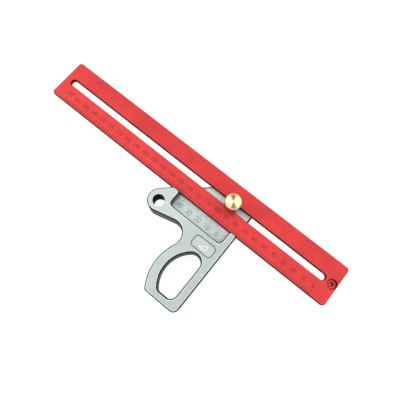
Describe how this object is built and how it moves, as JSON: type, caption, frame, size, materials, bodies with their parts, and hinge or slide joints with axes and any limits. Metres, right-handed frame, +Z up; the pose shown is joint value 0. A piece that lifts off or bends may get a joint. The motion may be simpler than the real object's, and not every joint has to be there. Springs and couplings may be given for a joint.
{
  "type": "sliding t-square",
  "caption": "Marking square with a slotted, graduated rule that slides across a hooked finger-hole handle and is locked by a round brass knob.",
  "frame": {"origin": "on the handle's underside, straight below the clamp axis", "axes": "+X along the rule towards its zero end and out of the fence, +Y from the grip towards the rule's plain edge, +Z up out of the knob"},
  "size_m": [0.3, 0.118, 0.0272],
  "materials": {
    "handle_anodised": "fine bead-blasted, pale grey anodised",
    "handle_marks": "laser-marked grey scale",
    "rule_marks": "laser-marked dark red graduations",
    "badge_marks": "white print",
    "badge_metal": "satin",
    "insert_brass": "machined",
    "rule_anodised": "satin red anodised with engraved graduations",
    "clamp_steel": "bright zinc",
    "knob_brass": "turned and lacquered"
  },
  "bodies": {
    "stock": {"handle": "handle_anodised", "badge_plate": "badge_metal", "threaded_insert": "insert_brass"},
    "blade": {"rule": "rule_anodised"},
    "clamp_lift": {"clamp_washer": "clamp_steel"},
    "clamp_screw": {"clamp_knob": "knob_brass", "clamp_stud": "clamp_steel"}
  },
  "joints": [
    {"name": "rule_slide", "type": "slide", "parent": "stock", "child": "blade", "axis": [1, 0, 0], "range_m": [-0.093, 0.182]},
    {"name": "knob_lift", "type": "slide", "parent": "stock", "child": "clamp_lift", "axis": [0, 0, 1], "range_m": [0, 0.002]},
    {"name": "knob_turn", "type": "hinge", "parent": "clamp_lift", "child": "clamp_screw", "pos_m": [0, 0, 0.013], "axis": [0, 0, 1], "range_deg": [0, 720]}
  ],
  "couplings": [
    {"joint": "knob_turn", "follows": "knob_lift", "rad_per_m": 6283.2}
  ]
}
